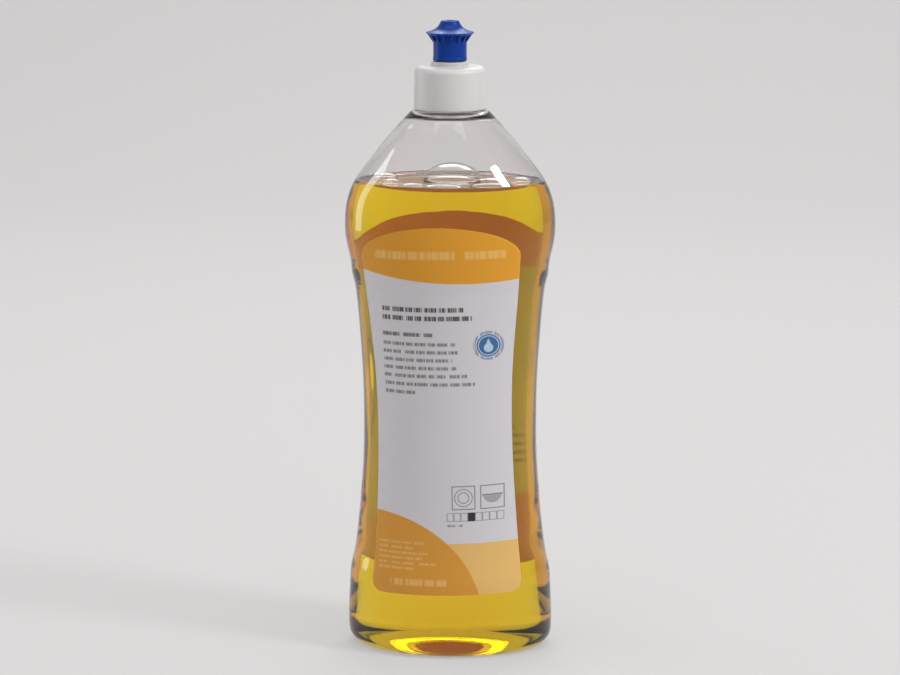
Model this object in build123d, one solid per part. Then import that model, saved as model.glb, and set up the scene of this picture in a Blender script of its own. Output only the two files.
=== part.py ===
"""A waisted oval dish soap bottle with a screw cap and a push-pull nozzle, in millimetres.

Z is up and the origin is where the bottle's axis meets the surface it stands on.
The long axis of the oval is X, and the front label faces -Y.
"""
from build123d import *
from math import cos, pi, radians, sin
import os

os.makedirs("parts", exist_ok=True)

# ---- driving dimensions --------------------------------------------------------------------

WALL = 0.7                 # blown wall, measured level
FLOOR = 1.2                # thickness of the base
HEEL = 7.5                 # radius where the wall turns in to the base
FOOT_A, FOOT_B = 46.1, 35.5  # half width and half depth just above the heel
HEEL_START = radians(15)   # where the heel's round leaves the base
HEEL_STEPS = 5
OVAL_POINTS = 24
WAIST_OVAL = 17            # the oval at the waist, counted from the base
PUSH_UP_A = 35.0           # half width of the pushed-up dome under the base
PUSH_UP_B = 25.0
PUSH_UP_RISE = 5.0
FILL_LEVEL = 210.8
SKIN_GAP = 0.05            # between wall and liquid, and between wall and label
LABEL_FILM = 0.15

# the outside of the body: height, half width, half depth
BODY = [
    (7.5, FOOT_A, FOOT_B),
    (14.0, 46.25, 35.6),
    (24.0, 45.85, 35.2),
    (31.0, 45.5, 34.9),
    (35.0, 45.15, 34.6),   # rounded lower edge of the label panel
    (40.0, 44.0, 33.9),
    (45.0, 43.05, 33.3),
    (52.0, 42.15, 32.9),
    (60.0, 41.25, 32.5),
    (70.0, 40.45, 32.1),
    (80.0, 39.65, 31.9),
    (92.0, 39.1, 31.7),
    (104.0, 39.0, 31.6),   # waist
    (116.0, 39.12, 31.65),
    (128.0, 39.6, 31.9),
    (140.0, 40.4, 32.4),
    (152.0, 41.35, 33.0),
    (162.0, 42.4, 33.7),
    (165.5, 43.0, 34.0),   # upper edge of the label panel
    (168.5, 43.85, 34.6),
    (175.0, 44.65, 35.1),
    (181.0, 45.95, 35.6),
    (186.0, 46.9, 35.8),
    (191.0, 47.25, 35.8),  # widest
    (196.0, 47.1, 35.7),
    (200.0, 46.65, 35.4),
    (204.0, 45.75, 35.0),
    (208.0, 44.35, 34.2),
    (212.0, 42.25, 33.1),
    (218.0, 38.05, 30.9),
    (224.0, 33.4, 28.3),
    (230.0, 28.7, 25.3),
    (236.0, 23.3, 21.8),
    (240.0, 19.8, 19.2),
    (241.6, 18.3, 18.3),   # round from here up
    (242.5, 17.4, 17.4),
    (243.0, 16.3, 16.3),   # foot of the neck
]

# the neck finish and its thread
NECK_BASE = BODY[-1][0]
NECK_SHELF = 0.9           # wall under the neck
SHELF_FROM = 240.0         # above this the inside drops clear of the shelf
THROAT = 8.0               # height of the cut that opens the body into the neck
NECK_LIP = 259.9
BORE_R = 10.8
NECK_R = 12.5
NECK_THREAD_R = 13.65
PITCH = 4.23
THREAD_TURNS = 1.5
THREAD_START = 250.6       # on the neck; the cap's own is half a pitch lower
THREAD_BASE = 2.2          # width of the ridge at its root
THREAD_LAND = 0.8          # and at its crest
THREAD_SUNK = 0.3

# the screw cap
CAP_BOTTOM = 243.6
CAP_TOP = 262.6
CAP_R_LOW = 16.15
CAP_R_HIGH = 15.85
CAP_EDGE = 2.8
CAP_PLATE = 1.4
CAP_THREAD_ROOT = 13.95
CAP_THREAD_R = 12.85
LINER_R = 12.4
LINER_HOLE_R = 6.0
COLLAR_R = 8.4
COLLAR_TOP = 264.6
COLLAR_EDGE = 0.5
SPOUT_R = 6.1
SPOUT_BORE = 4.6
SPOUT_TOP = 272.6
BEAD = 0.45                # snap bead at the spout's top
PINTLE_R = 1.6
PINTLE_TOP = 282.3
PINTLE_WEBS = 3            # they hold the pintle and leave the spout open between them
WEB = 0.9
WEB_DROP = 1.0             # from the spout's top to the webs' top

# the push-pull nozzle, shut
NOZZLE_BOTTOM = 265.0
NOZZLE_TOP = 282.6
STEM_R = 7.45
SLEEVE_BORE = 6.75
LIP_R = 6.3                # inner lip that the bead holds
LIP = 0.8
ROOF_Z = 275.0             # where the bore turns in to the orifice
ORIFICE_Z = 278.6
ORIFICE_R = 1.85
FLARE_Z = 275.2
RIM_R = 10.7
RIM_Z = 277.5
RIM_EDGE = 0.4
CROWN_R = 3.9
CROWN_CURVE = [(7.6, 278.5), (5.4, 280.1)]  # radius and height, between rim and crown
GUSSETS = 16
GUSSET = 0.9
GUSSET_Z = 273.2
GUSSET_SUNK = 0.2          # into the sleeve
GUSSET_TIP = 10.3          # radius at its outer end

# the label outlines: height and half width of a side, from the foot up to the arch
FRONT_SIDE = [
    (29.3, 33.9),
    (42.5, 32.7),
    (70.0, 30.9),
    (107.0, 30.0),         # waist
    (133.0, 31.0),
    (160.0, 33.6),
    (181.0, 35.6),
]
REAR_SIDE = [
    (29.3, 25.5),
    (42.5, 24.6),
    (70.0, 22.2),
    (107.0, 20.6),         # waist
    (133.0, 21.9),
    (160.0, 25.0),
    (181.0, 27.8),
]
FRONT_APEX = 194.7
REAR_APEX = 193.2
LABEL_WAIST = 107.0
LABEL_CORNER = 5.0
FRONT_LEAN = 1.1           # degrees, as the front label was applied
REAR_OFF = -2.5            # the rear label sits this far along X
LABEL_REACH = 60.0         # from the axis out past the wall, for cutting the skin


# ---- the oval body -------------------------------------------------------------------------

def oval(z, half_width, half_depth):
    """A closed oval at height z; every oval has its points at the same turns."""
    turns = [2 * pi * i / OVAL_POINTS for i in range(OVAL_POINTS)]
    points = [Vector(half_width * cos(t), half_depth * sin(t), z) for t in turns]
    knots = [i / OVAL_POINTS for i in range(OVAL_POINTS + 1)]
    return Wire([Edge.make_spline(points, periodic=True, parameters=knots)])


def heel_ovals(inset, floor):
    """The ovals of the heel: a round from the base at `floor` out to the wall."""
    radius = HEEL - floor
    ovals = []
    for step in range(HEEL_STEPS):
        turn = HEEL_START + step / HEEL_STEPS * (pi / 2 - HEEL_START)
        pull = inset + radius * (1 - sin(turn))
        rise = floor + radius * (cos(HEEL_START) - cos(turn)) / cos(HEEL_START)
        ovals.append(oval(rise, FOOT_A - pull, FOOT_B - pull))
    return ovals


def wall_ovals(inset, low, high, drop=0.0):
    """The ovals of the wall between two heights, drawn in by `inset` and moved down by `drop`."""
    return [oval(z - drop, a - inset, b - inset) for z, a, b in BODY if low <= z <= high]


def closed_form(ovals):
    """A smooth closed form through the ovals, in two lofts that meet at the waist."""
    return Solid.make_loft(ovals[:WAIST_OVAL + 1]) + Solid.make_loft(ovals[WAIST_OVAL:])


def body_form(inset):
    """The body up to the foot of the neck, drawn in by `inset` from the outside."""
    return closed_form(heel_ovals(inset, 0) + wall_ovals(inset, 0, NECK_BASE))


def push_up_ball(lift):
    """The flattened ball whose crown is the dome pushed up into the base."""
    radius = (PUSH_UP_A ** 2 + PUSH_UP_RISE ** 2) / (2 * PUSH_UP_RISE)
    ball = scale(Sphere(radius), by=(1, PUSH_UP_B / PUSH_UP_A, 1))
    return Pos(0, 0, PUSH_UP_RISE + lift - radius) * ball


def hollow(gap):
    """The room inside the body, `gap` clear of the wall, up to the shelf under the neck."""
    inset = WALL + gap
    floor = FLOOR + gap
    sides = wall_ovals(inset, 0, SHELF_FROM)
    shelf = wall_ovals(inset, SHELF_FROM + 0.1, NECK_BASE, drop=NECK_SHELF)
    return closed_form(heel_ovals(inset, floor) + sides + shelf) - push_up_ball(floor)


# ---- shared small shapes -------------------------------------------------------------------

def turned(*points):
    """A solid of revolution from a closed outline of (radius, height) points."""
    outline = Plane.XZ * make_face(Polyline(*points, close=True))
    return revolve(outline, Axis.Z)


def thread(root, crest, start):
    """A helical ridge from radius `root` to `crest`, its middle starting at height `start`."""
    path = Pos(0, 0, start) * Helix(pitch=PITCH, height=PITCH * THREAD_TURNS, radius=root)
    reach = crest - root
    sunk = -THREAD_SUNK if reach > 0 else THREAD_SUNK
    section = make_face(Polyline(
        (sunk, -THREAD_BASE / 2),
        (reach, -THREAD_LAND / 2),
        (reach, THREAD_LAND / 2),
        (sunk, THREAD_BASE / 2),
        close=True,
    ))
    across = Plane(origin=path @ 0, x_dir=(1, 0, 0), z_dir=path % 0)
    return sweep(across * section, path=path, is_frenet=True)


# ---- the pieces ----------------------------------------------------------------------------

def bottle():
    """The blown body and its moulded neck: one piece, open at the lip."""
    shell = body_form(0) - push_up_ball(0) - hollow(0)
    neck = turned(
        (BORE_R, NECK_BASE - NECK_SHELF / 2),
        (NECK_R, NECK_BASE - NECK_SHELF / 2),
        (NECK_R, NECK_LIP),
        (BORE_R, NECK_LIP),
    )
    throat = Pos(0, 0, NECK_BASE) * Cylinder(BORE_R, THROAT)
    shell = shell - throat + neck
    return shell + thread(NECK_R, NECK_THREAD_R, THREAD_START)


def detergent():
    """The liquid, level at the top and a hair clear of the wall."""
    room = hollow(SKIN_GAP)
    return split(room, Plane.XY.offset(FILL_LEVEL), keep=Keep.BOTTOM)


def label_outline(side, apex):
    """A tall label: arched top, sides that follow the waist, rounded lower corners."""
    sides = []
    for hand in (1, -1):
        sides.append(Spline(*[(hand * half, z) for z, half in side]))
    shoulder_z, shoulder_half = side[-1]
    foot_z, foot_half = side[0]
    rise = apex - shoulder_z
    arch = EllipticalCenterArc((0, shoulder_z), shoulder_half, rise, start_angle=0, arc_size=180)
    foot = Line((-foot_half, foot_z), (foot_half, foot_z))
    face = make_face([arch, foot] + sides)
    corners = face.vertices().sort_by(Axis.Y)[:2]
    return fillet(corners, LABEL_CORNER)


def label(facing, side, apex, lean=0, off=0):
    """A film skin on the front (-1) or rear (+1) wall, leaning by `lean` degrees."""
    skin = body_form(-SKIN_GAP - LABEL_FILM) - body_form(-SKIN_GAP)
    outline = Pos(0, -LABEL_WAIST, 0) * label_outline(side, apex)
    leaned = Pos(off, LABEL_WAIST, 0) * Rot(0, 0, lean) * outline
    punch = extrude(Plane.XZ * leaned, -LABEL_REACH * facing)
    return skin & punch


def screw_cap():
    """Skirt, top plate, collar, spout tube and the pintle that stops the nozzle: one moulding."""
    plate_under = CAP_TOP - CAP_PLATE
    edge_top = (CAP_R_HIGH - CAP_EDGE, CAP_TOP)
    edge_side = (CAP_R_HIGH, CAP_TOP - CAP_EDGE)
    outline = [
        Line((CAP_R_LOW, CAP_BOTTOM), edge_side),
        RadiusArc(edge_side, edge_top, -CAP_EDGE),
        Polyline(
            edge_top,
            (COLLAR_R, CAP_TOP),
            (COLLAR_R, COLLAR_TOP - COLLAR_EDGE),
            (COLLAR_R - COLLAR_EDGE, COLLAR_TOP),
            (SPOUT_R, COLLAR_TOP),
            (SPOUT_R, SPOUT_TOP - 2 * BEAD),
            (SPOUT_R + BEAD, SPOUT_TOP - BEAD),
            (SPOUT_R, SPOUT_TOP),
            (SPOUT_BORE, SPOUT_TOP),
            (SPOUT_BORE, plate_under),
            (CAP_THREAD_ROOT, plate_under),
            (CAP_THREAD_ROOT, CAP_BOTTOM),
            (CAP_R_LOW, CAP_BOTTOM),
        ),
    ]
    shell = revolve(Plane.XZ * make_face(outline), Axis.Z)
    shell += thread(CAP_THREAD_ROOT, CAP_THREAD_R, THREAD_START - PITCH / 2)
    pintle = Cylinder(
        PINTLE_R, PINTLE_TOP - CAP_TOP, align=(Align.CENTER, Align.CENTER, Align.MIN)
    )
    web = Box(
        SPOUT_BORE + WEB, WEB, SPOUT_TOP - WEB_DROP - CAP_TOP,
        align=(Align.MIN, Align.CENTER, Align.MIN),
    )
    webs = PolarLocations(0, PINTLE_WEBS) * (Pos(0, 0, CAP_TOP) * web)
    return shell + Pos(0, 0, CAP_TOP) * pintle + webs


def cap_liner():
    """A foam ring between the neck's lip and the cap's top plate."""
    under = CAP_TOP - CAP_PLATE
    return turned(
        (LINER_HOLE_R, NECK_LIP),
        (LINER_R, NECK_LIP),
        (LINER_R, under),
        (LINER_HOLE_R, under),
    )


def push_pull_nozzle():
    """A sleeve with a flared finger rim, gussets under it and a concave crown."""
    rim_low = (RIM_R, RIM_Z - RIM_EDGE)
    rim_high = (RIM_R, RIM_Z)
    crown = (CROWN_R, NOZZLE_TOP)
    outline = [
        Polyline((STEM_R, NOZZLE_BOTTOM), (STEM_R, FLARE_Z), rim_low, rim_high),
        Spline(rim_high, *CROWN_CURVE, crown, tangents=[(-1, 0.25), (-0.5, 1)]),
        Polyline(
            crown,
            (ORIFICE_R, NOZZLE_TOP),
            (ORIFICE_R, ORIFICE_Z),
            (SLEEVE_BORE, ROOF_Z),
            (SLEEVE_BORE, NOZZLE_BOTTOM + 2 * LIP),
            (LIP_R, NOZZLE_BOTTOM + LIP),
            (LIP_R, NOZZLE_BOTTOM),
            (STEM_R, NOZZLE_BOTTOM),
        ),
    ]
    sleeve = revolve(Plane.XZ * make_face(outline), Axis.Z)
    root = STEM_R - GUSSET_SUNK
    top = RIM_Z - RIM_EDGE
    triangle = make_face(Polyline((root, GUSSET_Z), (GUSSET_TIP, top), (root, top), close=True))
    gusset = extrude(Plane.XZ * triangle, GUSSET / 2, both=True)
    return sleeve + PolarLocations(0, GUSSETS) * gusset


# ---- writing -------------------------------------------------------------------------------

PIECES = {
    "bottle": bottle,
    "detergent": detergent,
    "front_label": lambda: label(-1, FRONT_SIDE, FRONT_APEX, lean=FRONT_LEAN),
    "rear_label": lambda: label(1, REAR_SIDE, REAR_APEX, off=REAR_OFF),
    "screw_cap": screw_cap,
    "cap_liner": cap_liner,
    "push_pull_nozzle": push_pull_nozzle,
}

for name, build in PIECES.items():
    piece = build()
    export_step(piece, f"parts/{name}.step")
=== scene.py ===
"""Looks of the dish soap bottle: clear shell, golden liquid, printed labels, cap and nozzle."""
from math import cos, pi, radians, sin, tau

import bmesh
import bpy
import numpy as np
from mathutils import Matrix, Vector


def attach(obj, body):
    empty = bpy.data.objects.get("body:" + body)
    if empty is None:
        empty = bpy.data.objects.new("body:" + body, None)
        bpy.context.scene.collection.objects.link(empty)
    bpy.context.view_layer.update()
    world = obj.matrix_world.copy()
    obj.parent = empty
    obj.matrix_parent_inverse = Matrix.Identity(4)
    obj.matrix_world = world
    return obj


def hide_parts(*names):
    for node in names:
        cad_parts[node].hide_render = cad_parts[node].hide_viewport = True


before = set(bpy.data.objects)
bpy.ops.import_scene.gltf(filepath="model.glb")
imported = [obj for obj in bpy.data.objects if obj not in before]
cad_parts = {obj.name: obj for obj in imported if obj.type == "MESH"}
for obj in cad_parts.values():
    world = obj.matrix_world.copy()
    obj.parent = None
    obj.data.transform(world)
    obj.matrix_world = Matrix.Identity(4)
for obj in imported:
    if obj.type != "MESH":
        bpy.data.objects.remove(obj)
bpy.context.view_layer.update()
MM = 0.001

# ---- driving sizes, in millimetres, as the frame was built -------------------------------------

WALL = 0.7
FLOOR = 1.2
HEEL = 7.5
HEEL_START = radians(15)
PUSH_UP = (35.0, 25.0, 5.0)      # half width, half depth, rise
FILL_LEVEL = 210.8
LABEL_FACE = 0.20                # both printed faces stand this far off the wall
FRONT_GLUE = -0.12               # the front label's glued face lies in the wall: no air between
REAR_GLUE = 0.05                 # the rear label's is a hair off it, which shows it brighter

# the outside of the body above the heel: height, half width, half depth
BODY = [
    (7.5, 46.1, 35.5), (14, 46.25, 35.6), (24, 45.85, 35.2), (31, 45.5, 34.9),
    (35, 45.15, 34.6), (40, 44.0, 33.9), (45, 43.05, 33.3), (52, 42.15, 32.9),
    (60, 41.25, 32.5), (70, 40.45, 32.1), (80, 39.65, 31.9), (92, 39.1, 31.7),
    (104, 39.0, 31.6), (116, 39.12, 31.65), (128, 39.6, 31.9), (140, 40.4, 32.4),
    (152, 41.35, 33.0), (162, 42.4, 33.7), (165.5, 43.0, 34.0), (168.5, 43.85, 34.6),
    (175, 44.65, 35.1), (181, 45.95, 35.6), (186, 46.9, 35.8), (191, 47.25, 35.8),
    (196, 47.1, 35.7), (200, 46.65, 35.4), (204, 45.75, 35.0), (208, 44.35, 34.2),
    (212, 42.25, 33.1), (218, 38.05, 30.9), (224, 33.4, 28.3), (230, 28.7, 25.3),
    (236, 23.3, 21.8), (240, 19.8, 19.2), (241.6, 18.3, 18.3),
]
NECK_BASE, NECK_LIP = 243.0, 259.9
NECK_R, BORE_R, NECK_THREAD_R = 12.5, 10.8, 13.65
PITCH, THREAD_TURNS, THREAD_START = 4.23, 1.5, 250.6

# the label outlines: height and half width of a side, from the foot up to the arch
FRONT_SIDE = [(29.3, 33.9), (42.5, 32.7), (70, 30.9), (107, 30.0), (133, 31.0), (160, 33.6),
              (181, 35.6)]
REAR_SIDE = [(29.3, 25.5), (42.5, 24.6), (70, 22.2), (107, 20.6), (133, 21.9), (160, 25.0),
             (181, 27.8)]
FRONT_APEX, REAR_APEX = 194.7, 193.2
LABEL_WAIST, LABEL_CORNER = 107.0, 5.0
FRONT_LEAN, REAR_OFF = radians(1.1), -2.5


# ---- curves and surfaces -----------------------------------------------------------------------

def smooth(points, spacing):
    """A natural cubic spline through the points, read at even steps of chord length."""
    points = np.asarray(points, float)
    chord = np.r_[0, np.cumsum(np.linalg.norm(np.diff(points, axis=0), axis=1))]
    gap = np.diff(chord)
    count = len(points)
    system = np.eye(count)
    bend = np.zeros_like(points)
    for i in range(1, count - 1):
        system[i, i - 1:i + 2] = gap[i - 1], 2 * (gap[i - 1] + gap[i]), gap[i]
        ahead = (points[i + 1] - points[i]) / gap[i]
        bend[i] = 6 * (ahead - (points[i] - points[i - 1]) / gap[i - 1])
    bend = np.linalg.solve(system, bend)
    at = np.linspace(0, chord[-1], max(2, int(chord[-1] / spacing)))
    k = np.clip(np.searchsorted(chord, at, side="right") - 1, 0, count - 2)
    g, left, right = gap[k][:, None], (at - chord[k])[:, None], (chord[k + 1] - at)[:, None]
    return (bend[k] * right ** 3 + bend[k + 1] * left ** 3) / (6 * g) \
        + (points[k] / g - bend[k] * g / 6) * right \
        + (points[k + 1] / g - bend[k + 1] * g / 6) * left


def rounded(points, radius, steps=5):
    """The outline with each inner corner replaced by a curve that starts `radius` before it."""
    points = np.asarray(points, float)
    result = [points[0]]
    for before, corner, after in zip(points, points[1:], points[2:]):
        back, ahead = before - corner, after - corner
        reach = min(radius, 0.45 * np.linalg.norm(back), 0.45 * np.linalg.norm(ahead))
        start = corner + back / np.linalg.norm(back) * reach
        end = corner + ahead / np.linalg.norm(ahead) * reach
        for t in np.linspace(0, 1, steps):
            result.append((1 - t) ** 2 * start + 2 * t * (1 - t) * corner + t ** 2 * end)
    result.append(points[-1])
    return np.array(result)


def piece(name, vertices, faces, body, slot, material, stands_for=None, flat=False):
    """A mesh object in metres that rides on a body and takes its finish from the material; slot is
    not used.
    """
    mesh = bpy.data.meshes.new(name)
    mesh.from_pydata([tuple(v) for v in np.asarray(vertices) * MM], [], faces)
    form = bmesh.new()
    form.from_mesh(mesh)
    bmesh.ops.remove_doubles(form, verts=form.verts, dist=1e-7)
    bmesh.ops.recalc_face_normals(form, faces=form.faces)
    form.to_mesh(mesh)
    form.free()
    if not flat:
        mesh.shade_smooth()
    mesh.materials.append(material)
    thing = bpy.data.objects.new(name, mesh)
    bpy.context.scene.collection.objects.link(thing)
    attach(thing, body)
    if stands_for:
        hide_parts(stands_for)
    return thing


def wrapped(rows, around, closed=False):
    """Vertices and faces of ovals stacked along rows of (height, half width, half depth).

    The point at turn t on a row is (half width cos t, half depth sin t, height).
    """
    rows = np.asarray(rows, float)
    turn = np.linspace(0, tau, around, endpoint=False)
    grid = np.empty((len(rows), around, 3))
    grid[..., 0] = rows[:, 1, None] * np.cos(turn)
    grid[..., 1] = rows[:, 2, None] * np.sin(turn)
    grid[..., 2] = rows[:, 0, None]
    return grid.reshape(-1, 3), quads(len(rows), around, closed)


def quads(rows, around, closed=False):
    """Quads between neighbours of a grid; the columns always close, the rows when closed."""
    i = np.arange(rows if closed else rows - 1)[:, None]
    j = np.arange(around)[None, :]
    up, on = (i + 1) % rows, (j + 1) % around
    faces = np.stack([i * around + j, i * around + on, up * around + on, up * around + j], axis=-1)
    return faces.reshape(-1, 4).tolist()


def turned(outline, around=128):
    """A solid of revolution: a closed outline of (radius, height) carried round the axis."""
    rows = [(z, r, r) for r, z in outline]
    return wrapped(rows, around, closed=True)


def heel(inset, floor):
    """Rows of the heel's round, from the base at `floor` out to the wall."""
    radius = HEEL - floor
    turn = np.linspace(HEEL_START, pi / 2, 8)[:-1]
    pull = inset + radius * (1 - np.sin(turn))
    rise = floor + radius * (cos(HEEL_START) - np.cos(turn)) / cos(HEEL_START)
    return [(z, BODY[0][1] - p, BODY[0][2] - p) for z, p in zip(rise, pull)]


def dome(lift):
    """Rows of the pushed-up base, raised by `lift`, from its crown out to its edge."""
    half_width, half_depth, rise = PUSH_UP
    ball = (half_width ** 2 + rise ** 2) / (2 * rise)
    part = np.linspace(0, 1, 22)
    height = rise + lift - ball + np.sqrt(ball ** 2 - (part * half_width) ** 2)
    return [(z, p * half_width, p * half_depth) for z, p in zip(height, part)]


def drawn_in(inset, top=None):
    """The body's rows moved in by `inset`, with the heel not included."""
    return [(z, a - inset, b - inset) for z, a, b in BODY if top is None or z < top]


def outside_rows(inset=0.0, spacing=1.2):
    """The outside from the heel to the shoulder's top, smooth, drawn in by `inset`."""
    return smooth(heel(inset, 0.0) + drawn_in(inset), spacing)


def inside_rows(inset, floor, spacing=1.4):
    """The inside from the heel to under the neck, smooth."""
    sides = drawn_in(inset, 240.5)
    return smooth(heel(inset, floor) + sides + [(240.9, 17.5, 17.4), (242.0, 15.6, 15.6)], spacing)


# ---- materials ---------------------------------------------------------------------------------

PET_IOR, LIQUID_IOR, FILM_IOR = 1.57, 1.36, 1.34
WET_TINT = (0.08, 0.08, 0.08, 1)   # the little reflection left where liquid wets plastic


class Recipe:
    """A material whose colour and finish are written as formulas on its nodes."""

    def __init__(self, name):
        self.material = bpy.data.materials.new(name)
        self.material.use_nodes = True
        self.tree = self.material.node_tree
        self.shader = self.tree.nodes["Principled BSDF"]
        self.output = self.tree.nodes["Material Output"]

    def node(self, kind, **settings):
        made = self.tree.nodes.new(kind)
        for name, value in settings.items():
            setattr(made, name, value)
        return made

    def join(self, source, socket):
        self.tree.links.new(source, socket)

    def feed(self, socket, value):
        if hasattr(value, "links"):
            self.join(value, socket)
        else:
            socket.default_value = value

    def set(self, **values):
        """Sets the shader's own sockets; an underscore stands for a space."""
        for name, value in values.items():
            self.feed(self.shader.inputs[name.replace("_", " ")], value)

    def math(self, operation, *values):
        made = self.node("ShaderNodeMath", operation=operation)
        for socket, value in zip(made.inputs, values):
            self.feed(socket, value)
        return made.outputs[0]

    def mix(self, amount, first, second):
        made = self.node("ShaderNodeMix", data_type="RGBA")
        self.feed(made.inputs["Factor"], amount)
        for socket, value in ((made.inputs[6], first), (made.inputs[7], second)):
            self.feed(socket, (*value, 1) if isinstance(value, tuple) else value)
        return made.outputs[2]

    def noise(self, scale, detail=2.0, stretch=(1, 1, 1)):
        """Noise on the piece's own place in metres, stretched along its axes."""
        place = self.node("ShaderNodeTexCoord").outputs["Object"]
        spread = self.node("ShaderNodeMapping")
        spread.inputs["Scale"].default_value = stretch
        self.join(place, spread.inputs["Vector"])
        cloud = self.node("ShaderNodeTexNoise")
        cloud.inputs["Scale"].default_value = scale
        cloud.inputs["Detail"].default_value = detail
        self.join(spread.outputs[0], cloud.inputs["Vector"])
        return cloud.outputs["Fac"]

    def span(self, value, low, high):
        """Spreads a 0 to 1 value over low to high."""
        return self.math("MULTIPLY_ADD", value, high - low, low)

    def bump(self, height, depth):
        """Raises the surface by `depth` metres where height is 1."""
        made = self.node("ShaderNodeBump")
        made.inputs["Strength"].default_value = 1.0
        made.inputs["Distance"].default_value = depth
        self.join(height, made.inputs["Height"])
        self.join(made.outputs[0], self.shader.inputs["Normal"])


def clear_pet():
    """Blown PET: clear, glossy, with the slow waviness of a blown wall."""
    mix = Recipe("clear_pet")
    mix.set(Base_Color=(0.955, 0.945, 0.945, 1), Transmission_Weight=1.0, IOR=PET_IOR)
    mix.set(Roughness=0.015, Specular_Tint=(0.75, 0.75, 0.75, 1))
    mix.bump(mix.noise(38.0, 1.0, stretch=(1, 1, 0.45)), 0.00022)
    return mix.material


def wetted_pet():
    """The inner wall below the liquid's level, where PET meets liquid and hardly reflects."""
    mix = Recipe("wetted_pet")
    mix.set(Base_Color=(1, 1, 1, 1), Transmission_Weight=1.0, IOR=PET_IOR, Roughness=0.0)
    mix.set(Specular_Tint=WET_TINT)
    return mix.material


def golden_liquid():
    """Clear detergent: a few millimetres stop the blue, and a little green is lost with depth."""
    mix = Recipe("golden_liquid")
    mix.set(Base_Color=(1, 1, 1, 1), Transmission_Weight=1.0, IOR=LIQUID_IOR, Roughness=0.0)
    mix.set(Specular_Tint=WET_TINT)
    dye = mix.node("ShaderNodeVolumeAbsorption")
    dye.inputs["Color"].default_value = (0.996, 0.975, 0.02, 1)
    dye.inputs["Density"].default_value = 306.0
    mix.join(dye.outputs[0], mix.output.inputs["Volume"])
    return mix.material


def soap_film():
    """The wet film of a bubble on the liquid."""
    mix = Recipe("soap_film")
    mix.set(Base_Color=(1, 1, 0.97, 1), Transmission_Weight=1.0, IOR=FILM_IOR, Roughness=0.0)
    mix.bump(mix.noise(180.0, 2.0), 0.0001)
    return mix.material


def white_plastic():
    """Satin white polypropylene with a fine moulded grain and slight flow shading."""
    mix = Recipe("white_plastic")
    flow = mix.noise(45.0, 3.0, stretch=(1, 1, 0.3))
    tone = mix.mix(flow, (0.55, 0.535, 0.535), (0.60, 0.585, 0.58))
    mix.set(Base_Color=tone, Roughness=mix.span(flow, 0.34, 0.46), IOR=1.49)
    mix.set(Subsurface_Weight=0.12, Subsurface_Scale=0.002)
    mix.bump(mix.noise(2600.0, 2.0), 0.000012)
    return mix.material


def foam():
    """White foam sheet."""
    mix = Recipe("foam")
    cells = mix.noise(3200.0, 3.0)
    mix.set(Base_Color=mix.mix(cells, (0.72, 0.72, 0.70), (0.86, 0.86, 0.84)), Roughness=0.8)
    mix.bump(cells, 0.00005)
    return mix.material


def blue_plastic():
    """Deep blue semi-gloss moulding."""
    mix = Recipe("blue_plastic")
    flow = mix.noise(120.0, 3.0, stretch=(1, 1, 0.4))
    tone = mix.mix(flow, (0.002, 0.028, 0.21), (0.004, 0.045, 0.29))
    mix.set(Base_Color=tone, Roughness=mix.span(flow, 0.26, 0.36), IOR=1.5, Specular_IOR_Level=0.15)
    mix.bump(mix.noise(2200.0, 2.0), 0.000010)
    return mix.material


WORD_GAP = 0.16            # share of a word's length that is blank


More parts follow.
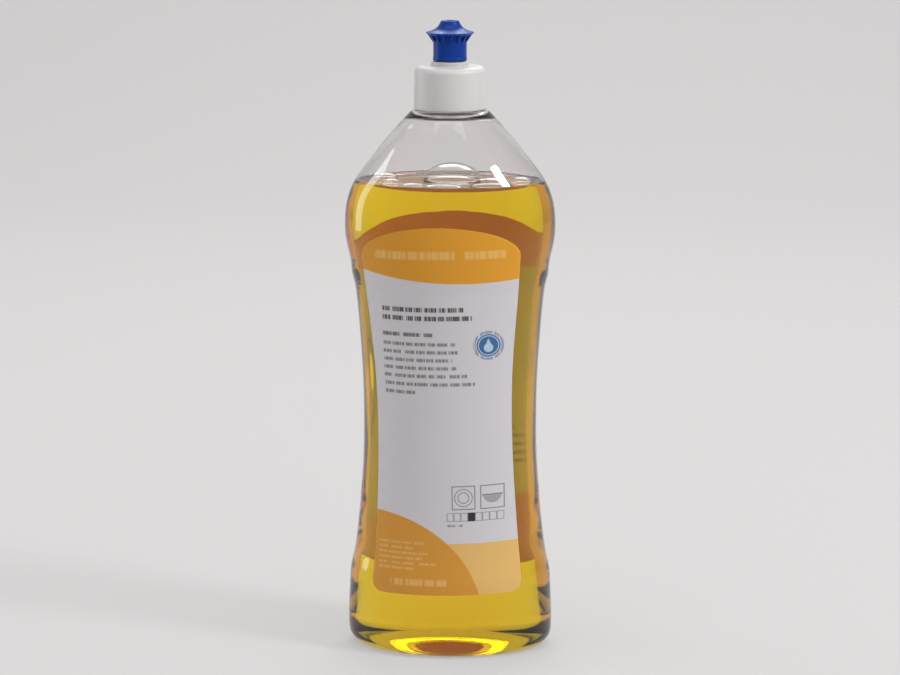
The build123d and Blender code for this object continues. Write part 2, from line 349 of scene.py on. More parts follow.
class Print(Recipe):
    """Label film whose print is written as formulas of its own flat place, in millimetres."""

    def __init__(self, name):
        super().__init__(name)
        flat = self.node("ShaderNodeSeparateXYZ")
        uv = self.node("ShaderNodeUVMap", uv_map="flat")
        self.join(uv.outputs[0], flat.inputs[0])
        self.u = self.math("MULTIPLY", flat.outputs[0], 1000.0)
        self.v = self.math("MULTIPLY", flat.outputs[1], 1000.0)
        self.ink = None

    def edge(self, signed, soft=0.25):
        """1 where signed is over 0, with an edge `soft` millimetres wide."""
        made = self.node("ShaderNodeMath", operation="MULTIPLY_ADD", use_clamp=True)
        self.feed(made.inputs[0], signed)
        made.inputs[1].default_value = 1.0 / soft
        made.inputs[2].default_value = 0.5
        return made.outputs[0]

    def both(self, *masks):
        result = masks[0]
        for mask in masks[1:]:
            result = self.math("MULTIPLY", result, mask)
        return result

    def box(self, left, right, low, high, soft=0.25):
        """1 inside the box; any side may be a formula."""
        return self.both(
            self.edge(self.math("SUBTRACT", self.u, left), soft),
            self.edge(self.math("SUBTRACT", right, self.u), soft),
            self.edge(self.math("SUBTRACT", self.v, low), soft),
            self.edge(self.math("SUBTRACT", high, self.v), soft),
        )

    def frame(self, left, right, low, high, line):
        """The outline of a box, `line` wide."""
        inner = self.box(left + line, right - line, low + line, high - line)
        return self.math("SUBTRACT", self.box(left, right, low, high), inner)

    def distance(self, u, v):
        du = self.math("SUBTRACT", self.u, u)
        dv = self.math("SUBTRACT", self.v, v)
        square = self.math("ADD", self.math("MULTIPLY", du, du), self.math("MULTIPLY", dv, dv))
        return self.math("SQRT", square)

    def disc(self, u, v, radius, soft=0.25):
        return self.edge(self.math("SUBTRACT", radius, self.distance(u, v)), soft)

    def bars(self, length, seed, fill, soft=0.06):
        """Upright bars along a line, about `length` millimetres each, that fill a share of it."""
        cloud = self.node("ShaderNodeTexNoise", noise_dimensions="1D")
        cloud.inputs["Scale"].default_value = 1.0
        cloud.inputs["Detail"].default_value = 0.0
        self.join(self.math("MULTIPLY_ADD", self.u, 0.5 / length, 7.3 * seed), cloud.inputs["W"])
        return self.edge(self.math("SUBTRACT", cloud.outputs["Fac"], 1 - fill), soft)

    def text_line(self, left, right, middle, tall, seed, word=5.0, stroke=0.42):
        """A line of blank words: bars about `word` long, shaded by finer strokes, never letters."""
        line = self.box(left, right, middle - tall / 2, middle + tall / 2, 0.4)
        sway = self.node("ShaderNodeTexNoise", noise_dimensions="1D")
        sway.inputs["Scale"].default_value = 1.0
        self.join(self.math("MULTIPLY_ADD", self.u, 0.12, 3.1 * seed), sway.inputs["W"])
        phase = self.math("MULTIPLY_ADD", self.math("SUBTRACT", self.u, left), 1 / word, WORD_GAP)
        phase = self.math("ADD", phase, self.span(sway.outputs["Fac"], -0.5, 0.5))
        words = self.edge(self.math("SUBTRACT", self.math("FRACT", phase), WORD_GAP), 0.06)
        grain = self.span(self.bars(stroke, seed + 0.5, 0.55, 0.30), 0.45, 1.0)
        return self.both(line, words, grain)

    def lay(self, mask, colour, strength=1.0):
        """Prints a colour over what is there."""
        if strength != 1.0:
            mask = self.math("MULTIPLY", mask, strength)
        self.ink = self.mix(mask, self.ink, colour)


PAPER = (0.60, 0.58, 0.61)
ORANGE = (0.68, 0.30, 0.018)
DEEP_ORANGE = (0.62, 0.28, 0.035)
TAN = (0.71, 0.44, 0.14)
PALE = (0.78, 0.50, 0.18)
BLACK = (0.03, 0.025, 0.03)
RING_BLUE = (0.045, 0.13, 0.31)
DROP = (0.42, 0.56, 0.66)
FRONT_THROUGH, REAR_THROUGH, BACKING_THROUGH = 0.10, 0.60, 0.92    # share of light let through

# the print's layout on the flat label, in millimetres: u to the right, v up from the base
TITLE_WORDS, TITLE_LOW, TITLE_HIGH = ((-29.0, 7.5), (12.0, 29.5)), 180.6, 184.2
BADGE_U, BADGE_V = 21.0, 141.4
PANEL_LEFTS, PANEL_LOW, PANEL_HIGH, PANEL_WIDE = (3.7, 16.2), 67.6, 78.4, 10.4
BOX_ROW_LEFT, BOX_STEP, BOX_LOW, BOX_HIGH, BOXES = 1.4, 3.12, 62.4, 66.3, 8
SUN_V, SUN_R, SUN_INNER_R = 128.0, 17.0, 14.6

# lines of small print: height of the line's middle, left end, right end
HEADING = [(157.9, -26.3, 10.6), (154.0, -26.3, 14.2)]
BODY_LINES = [
    (142.3, -26.4, 6.6), (138.7, -26.3, 8.2), (135.1, -26.2, 5.2), (131.5, -26.1, 6.9),
    (127.9, -26.0, 11.6), (124.2, -25.9, 14.8), (120.5, -25.8, -11.3),
]
FOOT_LINES = [(52.4, -9.0), (50.0, -12.5), (47.7, -7.0), (45.4, -10.0), (43.1, -4.0), (40.9, -13.0)]


def film_finish(film, ink, through_share):
    """Satin film that lets some light through: a soft gloss with a faint unevenness."""
    film.set(Base_Color=ink, IOR=1.48, Specular_IOR_Level=0.35)
    film.set(Roughness=film.span(film.noise(60.0, 3.0), 0.36, 0.48))
    film.bump(film.noise(70.0, 2.0), 0.00006)
    through = film.node("ShaderNodeBsdfTranslucent")
    film.feed(through.inputs["Color"], ink)
    blend = film.node("ShaderNodeMixShader")
    blend.inputs[0].default_value = through_share
    film.join(film.shader.outputs[0], blend.inputs[1])
    film.join(through.outputs[0], blend.inputs[2])
    film.join(blend.outputs[0], film.output.inputs["Surface"])
    return film.material


def film_backing():
    """The unprinted side of a label, which is seen through the liquid."""
    film = Recipe("film_backing")
    tone = film.mix(film.noise(40.0), (0.93, 0.93, 0.93), (0.98, 0.98, 0.98))
    return film_finish(film, tone, BACKING_THROUGH)


def grounds(film):
    """The colour fields that both labels share: arched head with painted light, white body, foot
    sweep.
    """
    film.ink = film.mix(film.noise(30.0), tuple(0.97 * c for c in PAPER), PAPER)
    off = film.math("SUBTRACT", film.u, 14.0)
    smile = film.math("MULTIPLY_ADD", film.math("MULTIPLY", off, off), 0.0021, 169.6)
    head = film.edge(film.math("SUBTRACT", film.v, smile), 0.4)
    # painted light: the head's orange runs from a shaded copy at its left end to a lit copy at its
    # right end
    painted_light_across = film.math("MULTIPLY_ADD", film.u, 0.006, 0.45)
    film.lay(head, film.mix(painted_light_across, tuple(0.86 * c for c in ORANGE), tuple(1.12 * c for c in ORANGE)))
    film.lay(film.edge(film.math("SUBTRACT", 52.4, film.v), 0.3), TAN)
    film.lay(film.disc(-33.0, 16.0, 50.0, 0.4), DEEP_ORANGE)


def front_film():
    """Front label: colour fields, rows of blank words, a ring badge and two small panels."""
    film = Print("front_film")
    grounds(film)
    for left, right in TITLE_WORDS:
        title = film.box(left, right, TITLE_LOW, TITLE_HIGH, 0.7)
        strokes = film.span(film.bars(0.9, left, 0.55, 0.3), 0.35, 1.0)
        film.lay(film.both(title, strokes), PALE, 0.62)
    for v, left, right in HEADING:
        film.lay(film.text_line(left, right, v, 2.1, v, 5.0), BLACK, 0.95)
    film.lay(film.text_line(-26.4, -3.4, 146.6, 1.7, 3.0, 9.0), BLACK, 0.85)
    for v, left, right in BODY_LINES:
        film.lay(film.text_line(left, right, v, 1.5, v), BLACK, 0.72)
    badge(film, BADGE_U, BADGE_V)
    small_panels(film)
    for v, right in FOOT_LINES:
        film.lay(film.text_line(-30.6, right, v, 1.0, v, 6.0), PALE, 0.6)
    mark = film.box(-25.0, 1.0, 33.4, 36.2, 0.6)
    film.lay(film.both(mark, film.bars(0.9, 9.0, 0.6, 0.3)), PALE, 0.6)
    return film_finish(film, film.ink, FRONT_THROUGH)


def badge(film, u, v):
    """A blue ring round a disc with a pale drop."""
    ring = film.math("SUBTRACT", film.disc(u, v, 6.6), film.disc(u, v, 5.4))
    film.lay(film.both(ring, film.bars(0.6, 4.0, 0.6, 0.2)), RING_BLUE, 0.6)
    film.lay(film.disc(u, v, 5.1), RING_BLUE)
    film.lay(film.math("SUBTRACT", film.disc(u, v, 4.5), film.disc(u, v, 4.1)), DROP)
    film.lay(film.disc(u, v - 1.0, 2.0), DROP)
    taper = film.math("MULTIPLY", film.math("SUBTRACT", v + 3.2, film.v), 0.42)
    side = film.math("SUBTRACT", taper, film.math("ABSOLUTE", film.math("SUBTRACT", film.u, u)))
    film.lay(film.both(film.edge(side), film.box(u - 3, u + 3, v - 0.6, v + 3.2)), DROP)


def small_panels(film):
    """Two framed line drawings, a plate and a bowl, over a row of small boxes."""
    for left in PANEL_LEFTS:
        film.lay(film.frame(left, left + PANEL_WIDE, PANEL_LOW, PANEL_HIGH, 0.45), BLACK, 0.7)
    for radius in (4.1, 2.6):
        inner = film.disc(8.9, 73.0, radius - 0.45)
        rim = film.math("SUBTRACT", film.disc(8.9, 73.0, radius), inner)
        film.lay(rim, BLACK, 0.6)
    film.lay(film.both(film.disc(21.4, 74.2, 4.0), film.box(17, 26, 69.5, 73.6)), BLACK, 0.45)
    film.lay(film.box(17.0, 25.8, 73.7, 74.3), BLACK, 0.7)
    for step in range(BOXES):
        left = BOX_ROW_LEFT + BOX_STEP * step
        film.lay(film.frame(left, left + 3.1, BOX_LOW, BOX_HIGH, 0.35), BLACK, 0.55)
    film.lay(film.box(10.8, 13.9, BOX_LOW, BOX_HIGH), BLACK)
    film.lay(film.text_line(1.6, 8.5, 60.5, 1.0, 2.0), BLACK, 0.6)


def rear_film():
    """Rear label: the same fields with a plain sun disc and blank lines."""
    film = Print("rear_film")
    grounds(film)
    film.lay(film.disc(0.0, SUN_V, SUN_R), (0.70, 0.52, 0.03))
    film.lay(film.disc(0.0, SUN_V, SUN_INNER_R), (0.74, 0.62, 0.12))
    for step in range(5):
        v = 96.0 - 4.0 * step
        film.lay(film.text_line(-20.0, 20.0, v, 1.5, v), BLACK, 0.6)
    return film_finish(film, film.ink, REAR_THROUGH)


# ---- the bottle and what it holds --------------------------------------------------------------

AROUND = 160
OVERLAP = 0.15             # the liquid wets the wall, so it reaches a little way into it
MENISCUS, MENISCUS_SPREAD = 1.0, 1.1
BUBBLE_SKIN = 0.12
RIDGE_FOOT, RIDGE_CREST, RIDGE_SUNK = 1.1, 0.4, 0.3    # a thread's half heights and root depth
RIDGE_FADE = 9             # a thread fades in and out over 1/9 of its length

# bubbles: middle x and y, half width across X, half width across Y, height
BUBBLES = [
    (0.5, 4.0, 13.0, 12.0, 8.0),
    (20.0, -14.5, 9.5, 8.0, 4.2),
    (-1.0, -23.0, 9.5, 6.0, 2.2),
    (-24.5, -15.0, 4.6, 4.4, 3.0),
    (-14.5, -21.5, 6.2, 5.0, 2.2),
    (32.0, -3.0, 5.0, 5.0, 3.0),
    (-30.0, 8.0, 5.5, 5.0, 2.6),
]


def bottle_shell(material, wetted):
    """The blown shell: one skin from the dome's crown out, up, over the lip and back inside."""
    foot = outside_rows()
    neck_line = rounded(
        [(18.3, 241.6), (17.4, 242.5), (16.3, NECK_BASE), (NECK_R, NECK_BASE), (NECK_R, NECK_LIP),
         (BORE_R, NECK_LIP), (BORE_R, 243.4), (12.6, 242.1), (15.6, 242.0)], 0.6)
    neck = [(z, r, r) for r, z in dense(neck_line, 0.7)[1:-1]]
    inside = inside_rows(WALL, FLOOR)
    rows = dome(0.0) + [(0.0, 37.8, 27.4)] + list(foot) + neck
    rows += list(inside[::-1]) + dome(FLOOR)[::-1]
    shell = piece("bottle_shell", *wrapped(rows, AROUND), "bottle", "clear_bottle", material,
                  "bottle")
    wet_faces(shell.data, wetted)
    ridge = helix_ridge(NECK_R, NECK_THREAD_R, THREAD_START)
    piece("neck_thread", *ridge, "bottle", "clear_bottle", material, "bottle")


def wet_faces(mesh, wetted):
    """Gives the inner wall below the liquid's level its own finish.

    A face is inside where it lies nearer the axis than the outer wall drawn in by half a wall.
    """
    count = len(mesh.polygons)
    middle, facing = np.empty(count * 3), np.empty(count * 3)
    mesh.polygons.foreach_get("center", middle)
    mesh.polygons.foreach_get("normal", facing)
    x, y, z = middle.reshape(-1, 3).T / MM
    inwards = (facing.reshape(-1, 3)[:, :2] * middle.reshape(-1, 3)[:, :2]).sum(axis=1) < 0
    foot = outside_rows(WALL / 2)
    a, b = np.interp(z, foot[:, 0], foot[:, 1]), np.interp(z, foot[:, 0], foot[:, 2])
    inside = ((x / a) ** 2 + (y / b) ** 2 < 1) & (z < FILL_LEVEL) & (z > FLOOR)
    ball = dome(FLOOR / 2)
    floor_z = np.interp(np.hypot(x / PUSH_UP[0], y / PUSH_UP[1]),
                        np.linspace(0, 1, len(ball)), [row[0] for row in ball])
    inside &= inwards | (z > floor_z) & (z < HEEL)
    mesh.materials.append(wetted)
    mesh.polygons.foreach_set("material_index", inside.astype(np.int32))


def liquid(material):
    """The liquid: the room inside the shell up to its level, with a small meniscus."""
    inside = inside_rows(WALL - OVERLAP, FLOOR - OVERLAP)
    below = inside[inside[:, 0] < FILL_LEVEL - 0.4]
    rim = np.array([np.interp(FILL_LEVEL, inside[:, 0], inside[:, k]) for k in (1, 2)])
    rows = dome(FLOOR - OVERLAP) + list(below)
    for away in (0, 0.3, 0.7, 1.2, 1.9, 2.8, 4.0, 6.0, 9.0, 13.0, 18.0, 24.0):
        climb = MENISCUS * np.exp(-away / MENISCUS_SPREAD)
        rows.append((FILL_LEVEL + climb, rim[0] - away, rim[1] - away))
    rows.append((FILL_LEVEL, 0.0, 0.0))
    piece("liquid_fill", *wrapped(rows, AROUND), "bottle", "yellow_liquid", material, "detergent")


def bubbles(material):
    """Thin domes of soap film that stand on the liquid."""
    vertices, faces = [], []
    for x, y, wide, deep, tall in BUBBLES:
        turn = np.linspace(0, pi / 2, 14)
        outer = [(tall * np.sin(t), wide * np.cos(t), deep * np.cos(t)) for t in turn]
        inner = [((tall - BUBBLE_SKIN) * np.sin(t), (wide - BUBBLE_SKIN) * np.cos(t),
                  (deep - BUBBLE_SKIN) * np.cos(t)) for t in turn[::-1]]
        own, quad = wrapped(outer + inner, 48, closed=True)
        own = own + np.array([x, y, FILL_LEVEL - 0.05])
        faces += (np.array(quad) + len(vertices) * len(own)).tolist()
        vertices.append(own)
    piece("soap_bubbles", np.concatenate(vertices), faces, "bottle", "yellow_liquid", material)


def helix_ridge(root, crest, start, steps=150):
    """A trapezoid carried up a helix; its height fades in and out at the two ends."""
    along = np.linspace(0, 1, steps)
    swell = np.clip(np.minimum(along, 1 - along) * RIDGE_FADE, 0, 1)[:, None]
    reach = crest - root
    sunk = -RIDGE_SUNK * np.sign(reach)
    out = np.array([sunk, reach, reach, sunk])
    rise = np.array([-RIDGE_FOOT, -RIDGE_CREST, RIDGE_CREST, RIDGE_FOOT])
    radius = root + sunk + (out - sunk)[None, :] * swell
    turn = (along * THREAD_TURNS * tau)[:, None]
    grid = np.stack([radius * np.cos(turn), radius * np.sin(turn),
                     start + PITCH * turn / tau + rise[None, :] * np.ones_like(turn)], axis=-1)
    faces = quads(steps, 4)
    faces += [[0, 1, 2, 3], [4 * steps - 4 + k for k in (3, 2, 1, 0)]]
    return grid.reshape(-1, 3), faces


def dense(outline, spacing):
    """The outline with its long straight runs cut into steps, so that shading stays true."""
    outline = np.asarray(outline, float)
    result = [outline[0]]
    for start, end in zip(outline, outline[1:]):
        steps = max(1, int(np.ceil(np.linalg.norm(end - start) / spacing)))
        result += [start + (end - start) * k / steps for k in range(1, steps + 1)]
    return np.array(result)


# ---- labels ------------------------------------------------------------------------------------

def label_half(v, side, apex):
    """Half width of the label at height v: waisted sides, half-ellipse head, round corners."""
    (foot, _), (head, widest) = side[0], side[-1]
    line = smooth(side, 0.5)
    half = np.interp(v, line[:, 0], line[:, 1])
    arch = np.sqrt(np.clip(1 - ((v - head) / (apex - head)) ** 2, 0, 1))
    half = np.where(v > head, widest * arch, half)
    cut = np.clip(LABEL_CORNER - (v - foot), 0, LABEL_CORNER)
    return half - LABEL_CORNER + np.sqrt(LABEL_CORNER ** 2 - cut ** 2)


def label_skin(name, facing, side, apex, material, backing, glue, lean=0.0, off=0.0, across=64):
    """A closed film on the wall; its flat place goes into the UV map as metres.

    facing is -1 for the front and 1 for the rear; lean turns it and off moves it along X.
    """
    foot, head = side[0][0], side[-1][0]
    v = np.r_[foot + LABEL_CORNER * (1 - np.cos(np.linspace(0, pi / 2, 9)))[:-1],
              np.linspace(foot + LABEL_CORNER, head, 90)[:-1],
              head + (apex - head) * np.sin(np.linspace(0, pi / 2, 26))]
    share = np.linspace(-1, 1, across)
    u = label_half(v, side, apex)[:, None] * share[None, :]
    up = (v - LABEL_WAIST)[:, None]
    x = off + u * cos(lean) - up * sin(lean)
    z = LABEL_WAIST + u * sin(lean) + up * cos(lean)
    body = outside_rows()
    sheets = []
    for proud in (LABEL_FACE, glue):
        a = np.interp(z, body[:, 0], body[:, 1]) + proud
        b = np.interp(z, body[:, 0], body[:, 2]) + proud
        sheets.append(np.stack([x, facing * b * np.sqrt(1 - (x / a) ** 2), z], axis=-1))
    grid = np.concatenate([sheets[0], sheets[1][:, ::-1]], axis=1)
    faces = quads(len(v), 2 * across)
    last = (len(v) - 1) * 2 * across
    for start in (0, last):
        faces += [[start + j, start + j + 1, start + 2 * across - 2 - j, start + 2 * across - 1 - j]
                  for j in range(across - 1)]
    thing = piece(name, grid.reshape(-1, 3), faces, "bottle", "label_film", material,
                  name.replace("_skin", ""))
    mesh = thing.data
    place = np.empty(len(mesh.vertices) * 3)
    mesh.vertices.foreach_get("co", place)
    place = place.reshape(-1, 3)
    sideways, rise = (place[:, 0] - off * MM) * -facing, place[:, 2] - LABEL_WAIST * MM
    turn = lean * -facing
    flat = np.stack([sideways * cos(turn) + rise * sin(turn),
                     LABEL_WAIST * MM - sideways * sin(turn) + rise * cos(turn)], axis=-1)
    corner = np.empty(len(mesh.loops), dtype=np.int32)
    mesh.loops.foreach_get("vertex_index", corner)
    mesh.uv_layers.new(name="flat").data.foreach_set("uv", flat[corner].ravel())
    facing_out = np.empty(len(mesh.polygons) * 3)
    mesh.polygons.foreach_get("normal", facing_out)
    mesh.materials.append(backing)
    mesh.polygons.foreach_set("material_index", (facing_out[1::3] * facing < 0).astype(np.int32))


# ---- the closure -------------------------------------------------------------------------------

CAP_BOTTOM, CAP_TOP, CAP_EDGE, CAP_PLATE = 243.6, 262.6, 2.8, 1.4
CAP_R_LOW, CAP_R_HIGH, CAP_THREAD_ROOT, CAP_THREAD_R = 16.15, 15.85, 13.95, 12.85
COLLAR_R, COLLAR_TOP = 8.4, 264.6
SPOUT_R, SPOUT_BORE, SPOUT_TOP, BEAD = 6.1, 4.6, 272.6, 0.45
PINTLE_R, PINTLE_TOP, PINTLE_WEBS, WEB = 1.6, 282.3, 3, 0.9
LINER_R, LINER_HOLE_R = 12.4, 6.0
NOZZLE_BOTTOM, NOZZLE_TOP, STEM_R, SLEEVE_BORE = 265.0, 282.6, 7.45, 6.75
LIP_R, LIP, ROOF_Z, ORIFICE_Z, ORIFICE_R = 6.3, 0.8, 275.0, 278.6, 1.85
FLARE_Z, RIM_R, RIM_Z, RIM_EDGE, CROWN_R = 275.2, 10.7, 277.5, 0.4, 3.9
GUSSETS, GUSSET, GUSSET_Z, FOOT_BEAD = 16, 0.9, 273.2, 0.12


def ring_outline(points, radius=0.25, spacing=0.6):
    """A closed outline with small round corners, cut fine enough for even shading."""
    points = [tuple(p) for p in points]
    middle = tuple((np.array(points[0]) + np.array(points[-1])) / 2)
    line = rounded([middle] + points + [middle], radius)
    return dense(line, spacing)[:-1]


def screw_cap(material):
    """Skirt with a rounded top edge, collar and spout tube, turned about the axis."""
    under = CAP_TOP - CAP_PLATE
    turn = np.linspace(0, pi / 2, 9)
    centre = CAP_R_HIGH - CAP_EDGE
    edge = [(centre + CAP_EDGE * cos(t), CAP_TOP - CAP_EDGE + CAP_EDGE * sin(t)) for t in turn]
    outline = [(CAP_R_LOW, CAP_BOTTOM), *edge, (COLLAR_R, CAP_TOP), (COLLAR_R, COLLAR_TOP),
               (SPOUT_R, COLLAR_TOP), (SPOUT_R, SPOUT_TOP - 2 * BEAD),
               (SPOUT_R + BEAD, SPOUT_TOP - BEAD), (SPOUT_R, SPOUT_TOP),
               (SPOUT_BORE, SPOUT_TOP), (SPOUT_BORE, under),
               (CAP_THREAD_ROOT, under), (CAP_THREAD_ROOT, CAP_BOTTOM)]
    shell = turned(ring_outline(outline, 0.35))
    piece("cap_shell", *shell, "cap", "white_cap", material, "screw_cap")
    ridge = helix_ridge(CAP_THREAD_ROOT, CAP_THREAD_R, THREAD_START - PITCH / 2)
    piece("cap_thread", *ridge, "cap", "white_cap", material, "screw_cap")
    pintle_line = rounded([(0.0, PINTLE_TOP), (PINTLE_R, PINTLE_TOP), (PINTLE_R, CAP_TOP),
                           (0.0, CAP_TOP)], 0.4)
    rows = [(z, r, r) for r, z in dense(pintle_line, 0.6)]
    piece("cap_pintle", *wrapped(rows, 48), "cap", "white_cap", material, "screw_cap")
    webs = [prism([(0.8, CAP_TOP), (SPOUT_BORE + 0.3, CAP_TOP), (SPOUT_BORE + 0.3, SPOUT_TOP - 1),
                   (0.8, SPOUT_TOP - 1)], WEB, tau * k / PINTLE_WEBS) for k in range(PINTLE_WEBS)]
    piece("cap_webs", *merged(webs), "cap", "white_cap", material, "screw_cap", flat=True)


def prism(outline, thick, turn):
    """An outline of (radius, height) made `thick` across, standing on the radius at `turn`."""
    outline = np.asarray(outline, float)
    count = len(outline)
    sides = []
    for off in (-thick / 2, thick / 2):
        x = outline[:, 0] * cos(turn) - off * sin(turn)
        y = outline[:, 0] * sin(turn) + off * cos(turn)
        sides.append(np.stack([x, y, outline[:, 1]], axis=-1))
    faces = [list(range(count)), list(range(2 * count - 1, count - 1, -1))]
    faces += [[k, (k + 1) % count, count + (k + 1) % count, count + k] for k in range(count)]
    return np.concatenate(sides), faces


def merged(parts):
    """Several closed forms as one list of vertices and faces."""
    vertices, faces, start = [], [], 0
    for own, quad in parts:
        faces += [[start + k for k in face] for face in quad]
        vertices.append(own)
        start += len(own)
    return np.concatenate(vertices), faces


def cap_liner(material):
    under = CAP_TOP - CAP_PLATE
    outline = [(LINER_R, NECK_LIP), (LINER_R, under), (LINER_HOLE_R, under),
               (LINER_HOLE_R, NECK_LIP)]
    ring = turned(ring_outline(outline, 0.15))
    piece("liner_ring", *ring, "liner", "foam_liner", material, "cap_liner")


def nozzle(material):
    """Sleeve, flared rim and concave crown turned about the axis, with gussets under the rim."""
    crown = smooth([(RIM_R, RIM_Z), (7.6, 278.5), (5.4, 280.1), (4.25, 282.0)], 0.3)
    outline = [(STEM_R + FOOT_BEAD, NOZZLE_BOTTOM), (STEM_R + FOOT_BEAD, NOZZLE_BOTTOM + 1.3),
               (STEM_R, NOZZLE_BOTTOM + 1.5), (STEM_R, FLARE_Z), (RIM_R, RIM_Z - RIM_EDGE),
               *[tuple(p) for p in crown],
               (CROWN_R, NOZZLE_TOP), (ORIFICE_R, NOZZLE_TOP), (ORIFICE_R, ORIFICE_Z),
               (SLEEVE_BORE, ROOF_Z), (SLEEVE_BORE, NOZZLE_BOTTOM + 2 * LIP),
               (LIP_R, NOZZLE_BOTTOM + LIP), (LIP_R, NOZZLE_BOTTOM)]
    sleeve = turned(ring_outline(outline, 0.2, 0.5))
    piece("nozzle_sleeve", *sleeve, "nozzle", "blue_nozzle", material, "push_pull_nozzle")
    fin = [(STEM_R - 0.2, GUSSET_Z), (STEM_R + 0.15, GUSSET_Z), (RIM_R - 0.4, RIM_Z - RIM_EDGE),
           (STEM_R - 0.2, RIM_Z - RIM_EDGE)]
    fins = [prism(fin, GUSSET, tau * (k + 0.5) / GUSSETS) for k in range(GUSSETS)]
    piece("nozzle_gussets", *merged(fins), "nozzle", "blue_nozzle", material, "push_pull_nozzle",
          flat=True)


# ---- stage, light and camera, in metres --------------------------------------------------------

WORLD = 0.58               # light from all round
BACKDROP = 0.60            # how bright floor and backdrop look
BACKDROP_TINT = (1.0, 0.985, 0.98, 1)
EVENNESS = 0.65            # share of the floor's look that no shadow darkens
LIGHT_STEPS = 40           # glass surfaces that one ray may pass
MID_HEIGHT = 0.14          # what lamps and camera look at
STAGE_FRONT, STAGE_BACK, STAGE_BEND, STAGE_TOP, STAGE_SIDE = -4.0, 1.4, 0.8, 4.0, 5.0
CAMERA_TURN, CAMERA_AWAY, CAMERA_UP = radians(6.5), 1.6, 0.42
LENS, SENSOR = 144.4, 36.0

def backdrop_rays(mix):
    """1 for the rays that show the studio itself: to the camera, off a gloss or through glass."""
    path = mix.node("ShaderNodeLightPath").outputs
    shown = mix.math("MAXIMUM", path["Is Camera Ray"], path["Is Glossy Ray"])
    return mix.math("MAXIMUM", shown, path["Is Transmission Ray"])


def studio_paint():
    """Pale matt paint that looks even from edge to edge and still takes a soft shadow."""
    paint = Recipe("studio_paint")
    paint.set(Base_Color=(0.70, 0.69, 0.69, 1), Roughness=0.9, Specular_IOR_Level=0.1)
    painted_light_across = paint.node("ShaderNodeEmission")
    painted_light_across.inputs["Color"].default_value = BACKDROP_TINT
    painted_light_across.inputs["Strength"].default_value = BACKDROP
    blend = paint.node("ShaderNodeMixShader")
    paint.join(paint.math("MULTIPLY", backdrop_rays(paint), EVENNESS), blend.inputs[0])
    paint.join(paint.shader.outputs[0], blend.inputs[1])
    paint.join(painted_light_across.outputs[0], blend.inputs[2])
    paint.join(blend.outputs[0], paint.output.inputs["Surface"])
    return paint.material


def stage_floor():
    """A pale floor that curves up into the backdrop."""
    turn = np.linspace(0, pi / 2, 24)
    line = [(STAGE_FRONT, 0.0), (STAGE_BACK, 0.0)]
    line += [(STAGE_BACK + STAGE_BEND * sin(t), STAGE_BEND - STAGE_BEND * cos(t)) for t in turn[1:]]
    line.append((STAGE_BACK + STAGE_BEND, STAGE_TOP))
    vertices = [(x, y, z) for y, z in line for x in (-STAGE_SIDE, STAGE_SIDE)]
    faces = [[2 * k, 2 * k + 1, 2 * k + 3, 2 * k + 2] for k in range(len(line) - 1)]
    mesh = bpy.data.meshes.new("studio_floor")
    mesh.from_pydata(vertices, [], faces)
    mesh.shade_smooth()
    mesh.materials.append(studio_paint())
    floor = bpy.data.objects.new("studio_floor", mesh)
    bpy.context.scene.collection.objects.link(floor)


def area_light(name, azimuth, elevation, distance, size, power):
    """A rectangular lamp aimed at the bottle; azimuth is measured from the front, to the right."""
    lamp = bpy.data.lights.new(name, "AREA")
    lamp.shape = "RECTANGLE"
    lamp.size, lamp.size_y = size
    lamp.energy = power
    thing = bpy.data.objects.new(name, lamp)
    turn, lift = radians(azimuth), radians(elevation)
    target = Vector((0, 0, MID_HEIGHT))
    aim = Vector((sin(turn) * cos(lift), -cos(turn) * cos(lift), sin(lift)))
    thing.location = target + aim * distance
    thing.rotation_euler = aim.to_track_quat("Z", "Y").to_euler()
    bpy.context.scene.collection.objects.link(thing)


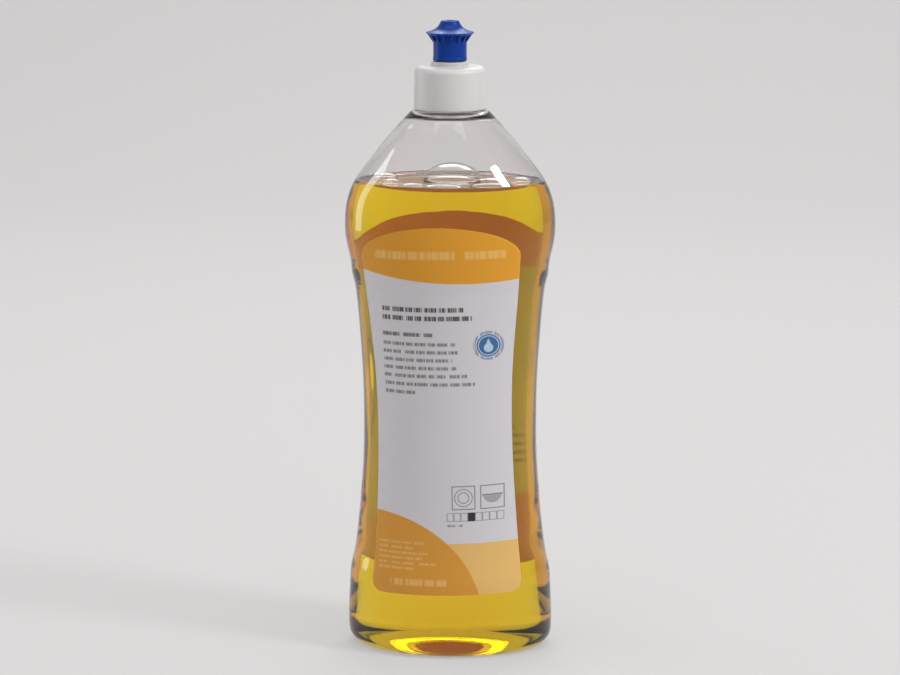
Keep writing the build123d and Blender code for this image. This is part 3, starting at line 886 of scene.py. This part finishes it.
def studio():
    world = bpy.data.worlds.new("studio")
    world.use_nodes = True
    tree = world.node_tree
    sky = tree.nodes["Background"]
    sky.inputs["Color"].default_value = BACKDROP_TINT
    path = tree.nodes.new("ShaderNodeLightPath").outputs
    shown = path["Is Camera Ray"]
    for name in ("Is Glossy Ray", "Is Transmission Ray"):
        either = tree.nodes.new("ShaderNodeMath")
        either.operation = "MAXIMUM"
        tree.links.new(shown, either.inputs[0])
        tree.links.new(path[name], either.inputs[1])
        shown = either.outputs[0]
    level = tree.nodes.new("ShaderNodeMath")
    level.operation = "MULTIPLY_ADD"
    level.inputs[1].default_value = BACKDROP - WORLD
    level.inputs[2].default_value = WORLD
    tree.links.new(shown, level.inputs[0])
    tree.links.new(level.outputs[0], sky.inputs["Strength"])
    bpy.context.scene.world = world
    area_light("key_softbox", 69, 39, 1.5, (0.26, 0.26), 11.0)
    area_light("left_panel", -100, 12, 1.2, (0.3, 1.0), 2.5)
    area_light("top_panel", 0, 80, 1.9, (1.6, 1.2), 10.0)
    area_light("rear_panel", 180, 45, 1.8, (1.2, 0.8), 16.0)
    stage_floor()


def camera():
    lens = bpy.data.cameras.new("camera")
    lens.lens, lens.sensor_width = LENS, SENSOR
    lens.clip_start = 0.05
    eye = bpy.data.objects.new("camera", lens)
    eye.location = (CAMERA_AWAY * sin(CAMERA_TURN), -CAMERA_AWAY * cos(CAMERA_TURN), CAMERA_UP)
    aim = Vector((0, 0, MID_HEIGHT)) - eye.location
    eye.rotation_euler = aim.to_track_quat("-Z", "Y").to_euler()
    bpy.context.scene.collection.objects.link(eye)
    bpy.context.scene.camera = eye


# ---- putting it together -----------------------------------------------------------------------

bottle_shell(clear_pet(), wetted_pet())
liquid(golden_liquid())
bubbles(soap_film())
backing = film_backing()
label_skin("front_label_skin", -1, FRONT_SIDE, FRONT_APEX, front_film(), backing, FRONT_GLUE,
           lean=FRONT_LEAN)
label_skin("rear_label_skin", 1, REAR_SIDE, REAR_APEX, rear_film(), backing, REAR_GLUE,
           off=REAR_OFF)
screw_cap(white_plastic())
cap_liner(foam())
nozzle(blue_plastic())
studio()
camera()
bpy.context.scene.view_settings.view_transform = "Standard"
bpy.context.scene.cycles.max_bounces = LIGHT_STEPS
bpy.context.scene.cycles.transmission_bounces = LIGHT_STEPS
